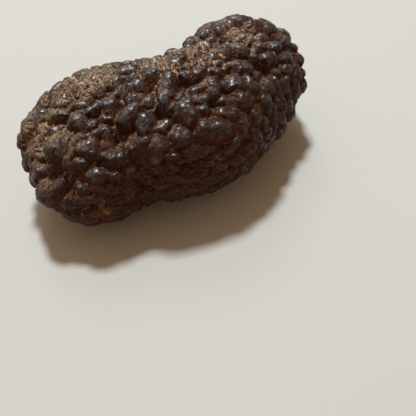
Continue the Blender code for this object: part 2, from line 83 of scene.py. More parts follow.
# The knobs that give the lump its look, from the left end to the right. Each is latitude,
# longitude, half-length, half-breadth, turn of its length from X and height.
KNOBS = (
    # Left end.
    (-72, 20, 2.8, 2.6, 0, 1.2), (-68, 188, 3.4, 3.0, 0, 2.7), (-63, 84, 2.1, 1.8, 0, 1.5),
    (-72, 119, 1.9, 1.4, 90, 1.5), (-66, 103, 1.2, 1.0, 0, 1.1), (-59, 195, 2.0, 1.5, 20, 1.4),
    (-58, 127, 1.6, 1.3, 0, 1.0), (-54, 86, 1.7, 1.5, 0, 1.3), (-51, 80, 1.9, 1.6, 0, 1.4),
    (-54, 188, 2.2, 1.6, 0, 1.3), (-51, 112, 3.3, 2.9, 10, 2.2), (-46, 115, 2.0, 1.3, -5, 1.7),
    (-54, 52, 2.7, 2.4, 0, 2.4), (-49, 180, 1.5, 1.2, 0, 1.1), (-47, 66, 2.4, 2.0, 0, 1.8),
    (-48, 93, 2.0, 1.6, 61, 1.5), (-46, 133, 2.0, 1.7, 60, 1.6), (-44, 166, 1.9, 1.2, 68, 1.3),
    (-43, 205, 2.6, 1.9, 0, 2.3), (-42, 82, 2.6, 2.2, 55, 2.1), (-43, 125, 2.6, 1.0, -44, 1.7),
    (-42, 138, 1.7, 1.5, 0, 1.3), (-42, 175, 2.4, 1.8, 0, 1.7), (-62, 210, 2.8, 2.3, 0, 1.5),
    (-50, 212, 2.8, 2.2, 0, 1.8), (-62, 42, 2.4, 2.0, 0, 2.4), (-74, 350, 2.4, 2.2, 0, 1.5),
    # Large left lobe.
    (-40, 46, 1.7, 1.4, 0, 1.3), (-37, 67, 1.3, 1.1, 0, 1.1), (-37, 101, 2.6, 2.3, 10, 2.0),
    (-38, 118, 1.5, 1.2, 0, 1.2), (-39, 164, 2.2, 1.7, 10, 1.5), (-38, 154, 2.4, 1.9, 10, 1.8),
    (-38, 129, 2.4, 2.8, -50, 2.2), (-32, 185, 1.8, 1.5, 0, 1.1), (-34, 97, 1.6, 1.0, 0, 1.5),
    (-36, 75, 2.8, 2.2, -5, 2.1), (-32, 144, 1.2, 1.2, 0, 1.2), (-33, 157, 1.9, 1.2, 25, 1.5),
    (-34, 167, 1.4, 1.1, 0, 0.9), (-34, 195, 2.2, 1.8, 0, 1.5), (-34, 57, 2.1, 1.7, 0, 1.1),
    (-33, 89, 2.0, 1.8, 0, 1.9), (-33, 110, 1.5, 1.8, 30, 1.6), (-33, 119, 1.5, 1.3, 0, 1.4),
    (-32, 133, 2.4, 1.8, 10, 1.1), (-33, 173, 1.5, 1.7, 30, 1.0), (-30, 98, 2.2, 1.4, -8, 1.8),
    (-30, 123, 1.9, 1.5, 90, 1.7), (-30, 145, 2.8, 2.0, 10, 1.9), (-28, 48, 2.9, 2.1, 0, 1.2),
    (-29, 87, 1.3, 1.1, 0, 1.3), (-28, 71, 2.4, 1.7, 0, 1.9), (-28, 81, 1.8, 1.1, 20, 1.4),
    (-28, 110, 1.5, 1.1, 20, 1.2), (-27, 162, 1.9, 1.6, 0, 1.1), (-24, 74, 1.4, 1.2, 0, 1.0),
    (-25, 100, 2.6, 2.1, 10, 2.1), (-24, 167, 1.5, 1.2, 0, 0.8), (-24, 190, 1.9, 1.4, 0, 1.0),
    (-24, 82, 1.7, 1.3, 0, 1.4), (-23, 143, 1.8, 2.1, 30, 1.6), (-21, 70, 2.0, 1.6, 0, 1.5),
    (-22, 60, 2.0, 1.6, 0, 1.6), (-22, 174, 1.8, 1.6, 0, 0.9), (-21, 116, 3.1, 2.1, -18, 2.0),
    (-21, 93, 1.5, 1.3, 0, 1.4), (-19, 140, 2.7, 2.2, -20, 2.0), (-18, 79, 2.3, 1.5, 25, 1.6),
    (-18, 90, 1.3, 1.1, 0, 1.3), (-18, 111, 1.5, 1.4, -18, 1.6), (-17, 182, 2.3, 1.5, 0, 1.0),
    (-17, 165, 1.8, 1.3, 0, 0.8), (-16, 107, 2.2, 1.9, 0, 1.8), (-16, 129, 2.9, 2.2, 120, 2.2),
    (-15, 147, 2.5, 2.3, 60, 2.2), (-15, 174, 1.8, 1.2, 0, 0.9), (-14, 80, 1.5, 1.2, 20, 1.2),
    (-14, 142, 1.5, 1.3, 0, 1.1), (-13, 55, 3.0, 1.7, 5, 1.2), (-13, 168, 1.8, 1.4, 0, 0.8),
    (-13, 96, 2.5, 1.7, 15, 1.8), (-11, 84, 1.6, 1.2, 0, 1.3), (-11, 72, 2.2, 1.4, 10, 1.4),
    (-12, 113, 1.8, 1.5, 0, 1.1), (-12, 137, 1.8, 1.5, 0, 1.2), (-11, 155, 1.9, 1.5, 10, 1.7),
    (-10, 177, 2.9, 1.2, 25, 1.0), (-8, 190, 3.0, 1.6, 25, 1.0), (-35, 211, 2.6, 2.0, 0, 1.6),
    (-27, 207, 2.4, 1.8, 0, 1.5), (-31, 52, 2.2, 1.8, 0, 1.6),
    # Middle and saddle.
    (-9, 58, 1.8, 1.4, 0, 0.9), (-8, 161, 1.5, 1.2, 0, 0.7), (-5, 126, 1.7, 1.3, 0, 1.5),
    (-6, 48, 1.8, 1.4, 0, 1.2), (-6, 118, 2.9, 1.9, -42, 2.3), (-4, 113, 2.6, 1.7, -43, 2.2),
    (-2, 107, 2.5, 1.7, -38, 2.1), (-6, 146, 2.6, 2.4, 21, 2.2), (-6, 175, 1.3, 1.2, 0, 1.0),
    (-5, 81, 2.2, 1.6, 10, 1.5), (-5, 95, 2.3, 2.0, 15, 2.0), (-1, 95, 1.4, 1.2, 0, 1.2),
    (-4, 180, 2.9, 1.6, 22, 1.1), (-3, 121, 1.7, 1.2, 10, 1.1), (-2, 133, 3.2, 2.2, 85, 2.4),
    (-3, 158, 2.9, 2.1, 10, 1.5), (-3, 172, 1.8, 1.5, 0, 0.9), (-2, 50, 2.4, 1.7, 0, 1.4),
    (0, 86, 1.8, 1.6, 0, 1.4), (4, 94, 1.9, 1.5, 0, 1.7), (0, 142, 2.0, 1.8, 60, 1.8),
    (-1, 169, 1.8, 1.3, 0, 1.0), (2, 64, 2.4, 1.6, 0, 0.7), (4, 103, 1.6, 1.3, 0, 1.3),
    (3, 108, 1.4, 1.2, 0, 1.4), (4, 128, 2.2, 1.5, 0, 1.5), (3, 135, 2.0, 1.9, 0, 1.7),
    (5, 122, 2.2, 1.1, 0, 1.5), (3, 187, 2.8, 1.5, -10, 1.0), (3, 164, 1.9, 1.6, 0, 1.0),
    (3, 177, 2.0, 1.5, 0, 1.0), (4, 148, 3.7, 2.2, 18, 2.4), (5, 169, 1.8, 1.2, -20, 0.9),
    (8, 111, 1.9, 1.5, 10, 1.8), (10, 115, 1.3, 1.0, 0, 1.2), (8, 162, 2.7, 2.0, -46, 1.9),
    (9, 100, 1.6, 1.2, 20, 1.5), (7, 76, 2.0, 1.6, 0, 1.6), (8, 85, 1.4, 1.2, 0, 1.3),
    (10, 60, 2.0, 1.6, 0, 0.9), (12, 106, 1.7, 1.4, 0, 1.4), (9, 125, 2.6, 1.9, -71, 1.9),
    (10, 144, 2.8, 2.1, 10, 2.0), (12, 154, 2.8, 2.3, -55, 1.9), (11, 136, 2.2, 1.3, 30, 1.5),
    (13, 114, 1.7, 1.5, 60, 1.7), (13, 124, 1.2, 1.1, 0, 1.3), (14, 174, 2.6, 2.0, 0, 1.6),
    # Round right lobe.
    (17, 108, 1.6, 1.2, 0, 1.4), (17, 139, 2.6, 2.4, 20, 2.1), (17, 167, 2.5, 2.1, 60, 1.6),
    (17, 55, 1.8, 1.5, 0, 0.9), (19, 77, 2.1, 1.7, 0, 1.7), (17, 98, 1.7, 1.4, 10, 1.5),
    (17, 127, 2.4, 2.0, 20, 1.9), (19, 112, 1.6, 1.4, 0, 1.4), (19, 38, 2.0, 1.7, 0, 0.9),
    (19, 153, 2.2, 1.8, -20, 1.9), (20, 180, 2.2, 1.4, 60, 1.4), (23, 52, 2.6, 1.8, 0, 1.1),
    (22, 64, 1.7, 1.2, 10, 1.2), (22, 75, 1.5, 1.2, 0, 1.3), (23, 94, 2.4, 1.7, 10, 2.0),
    (22, 161, 2.2, 1.3, 90, 1.5), (23, 172, 2.0, 1.5, -30, 1.4), (24, 117, 2.7, 2.0, 15, 2.1),
    (23, 133, 2.8, 2.4, 50, 2.2), (27, 67, 2.8, 1.9, 10, 1.7), (26, 85, 2.0, 1.6, 30, 1.6),
    (26, 146, 2.6, 2.3, 40, 2.0), (26, 181, 1.9, 1.5, 0, 1.3), (26, 140, 2.0, 1.4, -10, 1.8),
    (28, 89, 1.4, 1.3, 0, 1.3), (28, 99, 2.6, 2.2, 20, 2.1), (29, 161, 2.8, 1.3, 90, 1.6),
    (29, 83, 1.4, 1.3, 0, 1.3), (31, 88, 1.4, 1.2, 0, 1.2), (29, 171, 2.0, 1.1, 90, 1.4),
    (32, 66, 2.4, 1.8, 10, 1.6), (33, 52, 2.5, 1.7, 0, 1.0), (33, 94, 1.7, 1.4, 0, 1.3),
    (32, 109, 1.6, 1.4, 0, 1.4), (33, 139, 2.2, 2.0, 30, 1.7), (33, 192, 1.8, 1.6, 0, 1.8),
    (36, 95, 1.4, 1.2, 0, 1.2), (37, 76, 2.4, 1.8, 0, 1.5), (36, 103, 1.8, 1.6, 0, 1.5),
    (38, 113, 2.3, 1.9, -10, 1.6), (38, 55, 1.8, 1.5, 0, 0.8), (36, 164, 2.2, 1.0, 90, 1.4),
    (40, 143, 2.6, 1.3, 90, 1.5), (42, 166, 2.2, 1.2, 90, 1.4), (39, 184, 2.6, 1.4, 90, 1.5),
    (42, 114, 1.6, 1.6, 0, 1.4), (44, 104, 1.8, 1.8, 0, 1.5), (44, 78, 2.4, 2.0, 0, 1.4),
    (47, 62, 2.5, 1.8, 0, 1.1), (48, 147, 2.6, 1.7, 90, 1.6), (49, 159, 2.2, 1.2, 90, 1.5),
    (49, 178, 2.2, 1.6, 90, 1.5), (50, 117, 2.4, 2.0, 0, 1.6), (49, 129, 2.2, 1.9, 0, 1.5),
    (55, 80, 2.6, 2.2, 0, 1.7), (53, 92, 2.0, 1.8, 0, 1.6), (59, 65, 2.3, 1.9, 0, 1.4),
    (58, 164, 2.8, 1.7, 90, 1.6), (61, 143, 2.2, 1.8, 90, 1.6), (65, 95, 2.0, 1.6, 0, 1.5),
    (68, 118, 2.1, 1.7, 0, 2.0), (70, 150, 2.1, 1.7, 0, 1.7), (68, 180, 2.1, 1.8, 0, 2.0),
    (50, 203, 2.2, 1.8, 0, 2.0), (40, 200, 2.2, 1.8, 0, 2.1),
)

# Hollows with no knobs in them, the wide bare one at the left end first: latitude,
# longitude, radius and depth.
HOLLOWS = (
    (-56, 153, 3.8, 0.5), (-50, 70, 0.9, 0.6), (-36, 181, 1.1, 0.5), (-11, 146, 1.0, 0.5),
    (2, 156, 1.1, 0.6), (18, 118, 1.0, 0.5), (37, 124, 1.0, 0.6), (-26, 92, 0.8, 0.4),
)

# The knobs between those are scattered in rounds, each with smaller ones that fit the gaps
# that are left. Each round is a share of the usual size and a number of tries.
FILL_ROUNDS = ((1.0, 2500), (0.75, 2500))
FILL_SEED = 11
SPACING = 0.76  # centre distance of two knobs, as a share of their summed sizes
OVERLAP = 1.5  # how much larger a knob is drawn than the room it asks for
USUAL_SIZE = 1.85  # size of a scattered knob at the middle of the lump
SIZE_RANGE = (0.82, 1.22)
STRETCH_RANGE = (1.0, 1.2)
LEFT_GROWTH = 0.009  # how much larger, per degree of latitude towards the left end
SMALL_PLACE = (22, 60)  # latitude and longitude of the patch where knobs are small
SMALL_REACH = 45.0
SMALL_BY = 0.5
HEIGHT_RANGE = (0.48, 0.69)  # height of a scattered knob, as a share of its size

# Form of one knob: a few steep, uneven sides capped by gentler faces, with all edges worn.
SIDES = (4, 6)
SIDE_SHIFT = 0.3  # how far a side is turned from its even place, in steps between sides
SIDE_REACH = (0.78, 1.3)  # how far a side stands from the tip, as a share of the size
STEEP = 1.45  # how much steeper the sides are than a straight line from foot to tip
TOPS = (2, 3)  # number of faces in the cap; two meet in a ridge along the knob
TOP_SHIFT = 0.1  # how far a face of the cap is turned from its even place
TOP_SLOPE = (0.3, 0.65)  # how far the cap falls from the tip to the foot, as a share of the height
RIDGE = 0.8  # how much of a long knob's extra length is a level ridge
KNOB_REACH = 1.5  # nothing of a knob lies farther out than this many sizes
WEAR = (12.0, 24.0)  # how crisp the edges between the faces are
FOOT = 0.65  # how far a knob's sides run on down below the height given for it
CREASE = 0.6  # how far the crease between two knobs is cut below where they would meet
CREASE_WIDTH = 0.3  # difference in height over which the crease fades
WARPS = ((0.45, 2.6), (0.15, 1.1))  # how far outlines wander, and over what length
WARP_SEED = 1  # any fixed number but 0, which would give another shape every time
CHOSEN_GROWTH = 1.3  # how much larger a chosen knob's foot is than the part of it that shows


def body_field(points):
    """About how far points are outside the body: negative inside, zero on its surface."""
    lobes = np.array(LOBES)
    centres = lobes[:, [0, 1, 4]]
    radii = lobes[:, 2:5]
    size = np.cbrt(radii.prod(axis=1))
    offset = (points[:, None, :] - centres) / radii
    distance = (np.linalg.norm(offset, axis=2) - 1.0) * size
    return -MELT * np.log(np.exp(-distance / MELT).sum(axis=1))


def body_slope(points, step=0.01):
    """Gradient of body_field."""
    steps = np.eye(3) * step
    sides = [body_field(points + s) - body_field(points - s) for s in steps]
    return np.stack(sides, axis=1) / (2.0 * step)


def unit(vectors):
    return vectors / np.linalg.norm(vectors, axis=-1, keepdims=True)


def onto_body(points, level, rounds=6):
    """Points moved along the slope until the body field has this level there."""
    points = points.copy()
    for _ in range(rounds):
        slope = body_slope(points)
        steepness = (slope**2).sum(axis=1, keepdims=True)
        points -= (body_field(points) - level)[:, None] * slope / steepness
    return points


def globe_direction(latitude, longitude):
    lat, lon = math.radians(latitude), math.radians(longitude)
    ring = math.cos(lat)
    spot = (math.sin(lat), ring * math.cos(lon), ring * math.sin(lon))
    return unit(np.array(spot) * GLOBE_RADII)


def place_on_body(latitude, longitude, level=0.0):
    """Where a line from the globe's centre leaves the body."""
    direction = globe_direction(latitude, longitude)
    spot = np.array(GLOBE_CENTRE)
    for _ in range(RAY_STEPS):
        spot -= (body_field(spot[None])[0] - level) * direction
    return spot


def globe_angles(points):
    """Latitude and longitude of points."""
    spot = unit((points - GLOBE_CENTRE) / GLOBE_RADII)
    latitude = np.degrees(np.arcsin(spot[:, 0]))
    longitude = np.degrees(np.arctan2(spot[:, 2], spot[:, 1])) % 360.0
    return latitude, longitude


def face_angles(count, shift, rng):
    """Directions that the faces round a knob look in, each a little off its even place."""
    return (np.arange(count) + rng.uniform(-shift, shift, count)) * 2.0 * math.pi / count


def knob_form(centre, normal, length, breadth, turn, height, rng):
    """One knob: where it stands, its two axes, its steep sides and the faces of its cap."""
    along = unit(np.array((1.0, 0.0, 0.0)) - normal * normal[0])
    around = np.cross(along, normal)
    turn = math.radians(turn)
    axis = along * math.cos(turn) + around * math.sin(turn)
    side_count = int(rng.integers(SIDES[0], SIDES[1] + 1))
    sides = rng.uniform(0.0, math.pi) + face_angles(side_count, SIDE_SHIFT, rng)
    top_count = int(rng.integers(TOPS[0], TOPS[1] + 1))
    tops = math.pi / 2.0 + face_angles(top_count, TOP_SHIFT, rng)
    return {
        "centre": centre,
        "axes": np.stack((axis / length, np.cross(axis, normal) / breadth), axis=1),
        "sides": np.stack((np.cos(sides), np.sin(sides))) / rng.uniform(*SIDE_REACH, side_count),
        "tops": np.stack((np.cos(tops), np.sin(tops))) * rng.uniform(*TOP_SLOPE, top_count),
        "ridge": RIDGE * max(0.0, 1.0 - breadth / length),
        "wear": rng.uniform(*WEAR),
        "reach": KNOB_REACH * max(length, breadth),
        "size": math.sqrt(length * breadth),
        "height": height + FOOT,
    }


def chosen_knobs(rng):
    tips = np.array([place_on_body(latitude, longitude) for latitude, longitude, *_ in KNOBS])
    centres = onto_body(tips, -RELIEF)
    normals = unit(body_slope(centres))
    knobs = []
    for centre, normal, (*_, length, breadth, turn, height) in zip(centres, normals, KNOBS):
        length, breadth = CHOSEN_GROWTH * length, CHOSEN_GROWTH * breadth
        knobs.append(knob_form(centre, normal, length, breadth, turn, height, rng))
    return knobs


def usual_size(latitude, longitude):
    """Half-length of a scattered knob, by where it stands."""
    away = np.hypot(latitude - SMALL_PLACE[0], (longitude - SMALL_PLACE[1] + 180) % 360 - 180)
    small = SMALL_BY * np.exp(-((away / SMALL_REACH) ** 2))
    return USUAL_SIZE - LEFT_GROWTH * latitude - small


def scattered_knobs(knobs, rng):
    """Knobs at random places on the body, wherever they keep clear of those already there."""
    centres = [knob["centre"] for knob in knobs]
    sizes = [knob["size"] for knob in knobs]
    for latitude, longitude, radius, _ in HOLLOWS:
        centres.append(place_on_body(latitude, longitude, -RELIEF))
        sizes.append(radius)
    scattered = []
    for share, tries in FILL_ROUNDS:
        spots = GLOBE_CENTRE + unit(rng.normal(size=(tries, 3))) * GLOBE_RADII
        spots = onto_body(spots, -RELIEF)
        normals = unit(body_slope(spots))
        wanted = share * usual_size(*globe_angles(spots)) * rng.uniform(*SIZE_RANGE, tries)
        for spot, normal, size in zip(spots, normals, wanted):
            gaps = np.linalg.norm(np.array(centres) - spot, axis=1)
            if (gaps < SPACING * (np.array(sizes) + size)).any():
                continue
            stretch = rng.uniform(*STRETCH_RANGE)
            length, breadth = OVERLAP * size * stretch, OVERLAP * size / stretch
            height = size * rng.uniform(*HEIGHT_RANGE)
            turn = rng.uniform(0.0, 180.0)
            scattered.append(knob_form(spot, normal, length, breadth, turn, height, rng))
            centres.append(spot)
            sizes.append(size)
    return scattered


def wandered(points):
    """Points shifted by slow noise, so that outlines of knobs come out irregular."""
    noise.seed_set(WARP_SEED)
    warped = points.copy()
    for amount, length in WARPS:
        warped += amount * np.array([noise.noise_vector(p) for p in points / length])
    return warped


def relief(points, knobs):
    """Height of the ground over each point of the skin: the tallest knob there."""
    ground = np.zeros(len(points))
    second = np.full(len(points), -np.inf)
    for latitude, longitude, radius, depth in HOLLOWS:
        gap = np.linalg.norm(points - place_on_body(latitude, longitude, -RELIEF), axis=1)
        ground -= depth * np.exp(-((gap / radius) ** 4))
    points = wandered(points)
    order = np.argsort(points[:, 0])
    sorted_x = points[order, 0]
    for knob in knobs:
        middle, reach = knob["centre"][0], knob["reach"]
        first, last = np.searchsorted(sorted_x, (middle - reach, middle + reach))
        near = order[first:last]
        offset = points[near] - knob["centre"]
        inside = (offset**2).sum(axis=1) < reach**2
        near, offset = near[inside], offset[inside]
        spot = offset @ knob["axes"]
        past_ridge = np.maximum(np.abs(spot[:, 0]) - knob["ridge"], 0.0)
        spot[:, 0] = np.sign(spot[:, 0]) * past_ridge / (1.0 - knob["ridge"])
        sides = STEEP * (1.0 - spot @ knob["sides"])
        tops = 1.0 - spot @ knob["tops"]
        wear = knob["wear"]
        lowest = np.exp(-wear * np.hstack((sides, tops))).sum(axis=1) / tops.shape[1]
        height = knob["height"] * np.clip(-np.log(lowest) / wear, 0.0, 1.0)
        second[near] = np.maximum(second[near], np.minimum(ground[near], height))
        ground[near] = np.maximum(ground[near], height)
    return ground - CREASE * np.exp((second - ground) / CREASE_WIDTH)


def lobes_object():
    """The lobes as overlapping spheres in one mesh, still in millimetres."""
    bm = bmesh.new()
    for x, y, *radii in LOBES:
        made = bmesh.ops.create_icosphere(bm, subdivisions=4, radius=1.0)
        bmesh.ops.scale(bm, vec=radii, verts=made["verts"])
        bmesh.ops.translate(bm, vec=(x, y, radii[2]), verts=made["verts"])
    mesh = bpy.data.meshes.new(NODE)
    bm.to_mesh(mesh)
    bm.free()
    return bpy.data.objects.new(NODE, mesh)


def apply_modifier(obj, kind, **settings):
    """Adds a modifier, keeps its result as the mesh, and removes it."""
    modifier = obj.modifiers.new(kind.title(), kind)
    for name, value in settings.items():
        setattr(modifier, name, value)
    graph = bpy.context.evaluated_depsgraph_get()
    mesh = bpy.data.meshes.new_from_object(obj.evaluated_get(graph))
    obj.modifiers.clear()
    old, obj.data = obj.data, mesh
    bpy.data.meshes.remove(old)


def points_of(mesh):
    points = np.empty(len(mesh.vertices) * 3)
    mesh.vertices.foreach_get("co", points)
    return points.reshape(-1, 3)


def set_points(mesh, points):
    mesh.vertices.foreach_set("co", points.ravel())
    mesh.update()


# ---------------------------------------------------------------------------------------
# Fine surface, which is too small for the solid.
# ---------------------------------------------------------------------------------------
GRAIN = ((0.16, 1.2), (0.16, 0.6))  # height and length of the lumps in the creases
FACETS = ((0.2, 1.9), (0.1, 0.8))  # tilt and width of the small flat faces on the knobs
FIBRE = (0.05, 0.75)  # height and thickness of the fine ridges on the sides of the knobs
FIBRE_STRETCH = (1.0, 1.0, 0.6)  # below 1, they are drawn out along that axis
FIBRE_SHARPNESS = 2.0
CREST_GRAIN = 0.25  # share of all that which reaches the smooth crests
CREST_FADE = (0.3, 0.8)  # where that fading starts and ends, from crease to crest
STRAND = (0.5, 1.1)  # height and thickness of the layers on the worn lower front
STRAND_STRETCH = (0.3, 1.0, 1.0)
STRAND_SHARPNESS = 2.5
WORN_DULLS = 0.22  # how much less of that front counts as crest
WORN_PLACE = (-12.0, 182.0)  # latitude and longitude of that front
WORN_REACH = (30.0, 26.0)  # how far it reaches either way, in the same degrees
CREST_RISE = 0.9  # difference in height between a crease and a crest
BLUR_ROUNDS = 28  # how far the height is evened out to tell crests from creases
SPOKE_REACH = 5.0  # no knob's streaks run farther than this
SPOKE_PATTERNS = 7  # the streaks differ between this many knobs, and then come again
CELL_MIDDLE = Vector((0.5, 0.5, 0.5))  # middle of the range that cell noise is drawn from


def edges_of(mesh):
    ends = np.empty(len(mesh.edges) * 2, np.int64)
    mesh.edges.foreach_get("vertices", ends)
    return ends.reshape(-1, 2)


def normals_of(mesh):
    normals = np.empty(len(mesh.vertices) * 3)
    mesh.vertex_normals.foreach_get("vector", normals)
    return normals.reshape(-1, 3)


def blurred(values, edges, rounds):
    """Values evened out over the mesh, a little in each round."""
    first, second = edges.T
    count = np.bincount(edges.ravel(), minlength=len(values))
    for _ in range(rounds):
        total = np.bincount(first, values[second], len(values))
        total += np.bincount(second, values[first], len(values))
        values = (values + total / count) / 2.0
    return values


def part_labels(mesh):
    """For each point, the lowest number among the points that it hangs together with."""
    first, second = edges_of(mesh).T
    labels = np.arange(len(mesh.vertices))
    while True:
        lowest = labels.copy()
        np.minimum.at(lowest, first, labels[second])
        np.minimum.at(lowest, second, labels[first])
        lowest = lowest[lowest]
        if (lowest == labels).all():
            return labels
        labels = lowest


def drop_specks(mesh):
    """Deletes all but the largest part, because a remesh can leave specks in narrow creases."""
    labels = part_labels(mesh)
    largest = np.bincount(labels).argmax()
    bm = bmesh.new()
    bm.from_mesh(mesh)
    bm.verts.ensure_lookup_table()
    specks = [bm.verts[i] for i in np.flatnonzero(labels != largest)]
    bmesh.ops.delete(bm, geom=specks, context="VERTS")
    bm.to_mesh(mesh)
    bm.free()


def crest_share(mesh):
    """How far each point stands out of what is round it, from 0 in a crease to 1 on a crest."""
    height = body_field(points_of(mesh)) + RELIEF
    around = blurred(height, edges_of(mesh), BLUR_ROUNDS)
    return np.clip(0.5 + (height - around) / CREST_RISE, 0.0, 1.0)


def facet_push(points, tilt, width):
    """Heights of small flat faces, each cell of a random pattern tilted its own way."""
    push = np.empty(len(points))
    for i, point in enumerate(points / width):
        middle = noise.voronoi(point)[1][0]
        lean = noise.cell_vector(middle) - CELL_MIDDLE
        push[i] = (Vector(point) - middle).dot(lean)
    return tilt * width * push


def worn_share(points):
    """1 in the middle of the worn lower front, fading to 0 round it."""
    latitude, longitude = globe_angles(points)
    across = (latitude - WORN_PLACE[0]) / WORN_REACH[0]
    down = (longitude - WORN_PLACE[1]) / WORN_REACH[1]
    return np.exp(-(across**2) - down**2)


def ridges(points, thickness, stretch, sharpness):
    """Winding ridges, highest along their middle lines."""
    return np.array([0.5 - sharpness * abs(noise.noise(p)) for p in points * stretch / thickness])


def roughen(mesh):
    """Grain, fibres, layers and small flat faces, pushed along the true normals."""
    points = points_of(mesh)
    crest = crest_share(mesh)
    push = np.zeros(len(points))
    for height, length in GRAIN:
        push += height * np.array([noise.noise(p) for p in points / length])
    push += FIBRE[0] * ridges(points, FIBRE[1], FIBRE_STRETCH, FIBRE_SHARPNESS)
    push *= np.interp(crest, CREST_FADE, (1.0, CREST_GRAIN))
    strands = ridges(points, STRAND[1], STRAND_STRETCH, STRAND_SHARPNESS)
    push += STRAND[0] * worn_share(points) * strands
    for tilt, width in FACETS:
        push += facet_push(points, tilt, width)
    points += normals_of(mesh) * push[:, None]
    set_points(mesh, points)


def spokes(points, knobs):
    """The way each point lies from the tip of its knob, and a height that differs by knob."""
    spoke = np.zeros((len(points), 3))
    nearest = np.full(len(points), np.inf)
    for number, knob in enumerate(knobs):
        near = np.flatnonzero(((points - knob["centre"]) ** 2).sum(axis=1) < SPOKE_REACH**2)
        spot = (points[near] - knob["centre"]) @ knob["axes"]
        gap = np.linalg.norm(spot, axis=1)
        closer = gap < nearest[near]
        near, spot, gap = near[closer], spot[closer], gap[closer]
        nearest[near] = gap
        spoke[near, :2] = spot / gap[:, None]
        spoke[near, 2] = number % SPOKE_PATTERNS
    return spoke


def store(mesh, name, values):
    """Keeps a number or a vector for each point of the mesh."""
    if values.ndim == 1:
        attribute = mesh.attributes.new(name, "FLOAT", "POINT")
        attribute.data.foreach_set("value", values.astype(np.float32))
    else:
        attribute = mesh.attributes.new(name, "FLOAT_VECTOR", "POINT")
        attribute.data.foreach_set("vector", values.astype(np.float32).ravel())


def sculpt_nodule(settings):
    """The nodule's mesh object, in metres, where the solid is."""
    obj = lobes_object()
    bpy.context.scene.collection.objects.link(obj)
    apply_modifier(obj, "REMESH", mode="VOXEL", voxel_size=settings.skin_step)
    skin = onto_body(points_of(obj.data), -RELIEF)
    rng = np.random.default_rng(FILL_SEED)
    knobs = chosen_knobs(rng)
    knobs += scattered_knobs(knobs, rng)
    set_points(obj.data, skin + unit(body_slope(skin)) * relief(skin, knobs)[:, None])

    apply_modifier(obj, "REMESH", mode="VOXEL", voxel_size=settings.fine_step)
    drop_specks(obj.data)
    roughen(obj.data)
    points = points_of(obj.data)
    points[:, 2] = np.maximum(points[:, 2], FLAT_DEPTH)
    set_points(obj.data, points)
    apply_modifier(obj, "TRIANGULATE")
    share = min(1.0, settings.triangles / len(obj.data.polygons))
    apply_modifier(obj, "DECIMATE", decimate_type="COLLAPSE", ratio=share)
    points = points_of(obj.data)
    store(obj.data, "crest", crest_share(obj.data) - WORN_DULLS * worn_share(points))
    store(obj.data, "spoke", spokes(points, knobs))
    set_points(obj.data, (points_of(obj.data) - ORIGIN) * METRE)
    obj.data.shade_smooth()
    return obj


# ---------------------------------------------------------------------------------------
# Finish of the nodule.
# ---------------------------------------------------------------------------------------
class Nodes:
    """Adds nodes to a material and wires them, one short call each."""

    def __init__(self, material):
        self.tree = material.node_tree

    def add(self, kind, inputs=(), **settings):
        node = self.tree.nodes.new(kind)
        for name, value in settings.items():
            setattr(node, name, value)
        for socket, value in dict(inputs).items():
            self.feed(node.inputs[socket], value)
        return node

    def feed(self, socket, value):
        if isinstance(value, bpy.types.NodeSocket):
            self.tree.links.new(value, socket)
        else:
            socket.default_value = value

    def attribute(self, name, output="Fac"):
        return self.add("ShaderNodeAttribute", attribute_name=name).outputs[output]

    def maths(self, operation, first, second=0.0, clamp=False):
        inputs = {0: first, 1: second}
        return self.add("ShaderNodeMath", inputs, operation=operation, use_clamp=clamp).outputs[0]

    def band(self, value, low, high):
        """0 below low, 1 above high, and a smooth rise between them."""
        inputs = {"Value": value, "From Min": low, "From Max": high}
        node = self.add("ShaderNodeMapRange", inputs, interpolation_type="SMOOTHSTEP")
        return node.outputs["Result"]

    def mix(self, share, first, second):
        node = self.add("ShaderNodeMix", data_type="RGBA")
        for socket, value in ((0, share), (6, first), (7, second)):
            self.feed(node.inputs[socket], value)
        return node.outputs[2]

    def blend(self, share, first, second):
        node = self.add("ShaderNodeMix", data_type="FLOAT")
        for socket, value in ((0, share), (2, first), (3, second)):
            self.feed(node.inputs[socket], value)
        return node.outputs[0]

    def dot(self, vector, weights):
        """The sum of a vector's three parts, each times its weight."""
        inputs = {0: vector, 1: weights}
        return self.add("ShaderNodeVectorMath", inputs, operation="DOT_PRODUCT").outputs["Value"]

    def centred(self, value, pattern, amount):
        """A value pushed up and down by this amount of a 0 to 1 noise."""
        push = self.maths("MULTIPLY", self.maths("SUBTRACT", pattern, 0.5), amount)
        return self.maths("ADD", value, push)

    def noise(self, place, length, detail, roughness):
        """Noise from 0 to 1 whose lumps are about this long."""
        inputs = {"Vector": place, "Scale": 1.0 / length, "Detail": detail, "Roughness": roughness}
        return self.add("ShaderNodeTexNoise", inputs).outputs["Fac"]

    def threads(self, pattern, width):
        """1 along the thin winding lines where a 0 to 1 noise passes through its middle."""
        gap = self.maths("ABSOLUTE", self.maths("SUBTRACT", pattern, 0.5))
        return self.band(gap, width, 0.0)


# Noises: the length of their lumps in metres, their detail and their roughness.
SPECKLE = (0.0008, 4.0, 0.75)
CLOUD = (0.006, 2.0, 0.55)
THREAD = (0.0015, 2.0, 0.55)
THREAD_WIDTH = 0.05  # as a part of that noise's range
STREAK = (0.2, 2.0, 0.6)  # across the spokes, which have no unit
PITTING = (0.0005, 5.0, 0.65)

# Masks: the value from which they start to show and the value where they are whole.
CREST_BAND = (0.5, 1.0)
SIDE_BAND = (0.1, 0.5)
POLISH_BAND = (0.45, 0.75)
TARNISH_BAND = (0.5, 0.75)
BRIGHT_BAND = (0.33, 0.5)
# Crest faces less upright than this take the dark earth colour as painted shade.
UPRIGHT_BAND = (0.2, 1.0)
DUST_AND_LIGHT_BAND = (0.2, 0.9)
GRAINS_BAND = (0.47, 0.57)
FIBRES_BAND = (0.35, 0.75)
STREAKS_BAND = (0.48, 0.66)
STAIN_BAND = (0.35, 0.8)

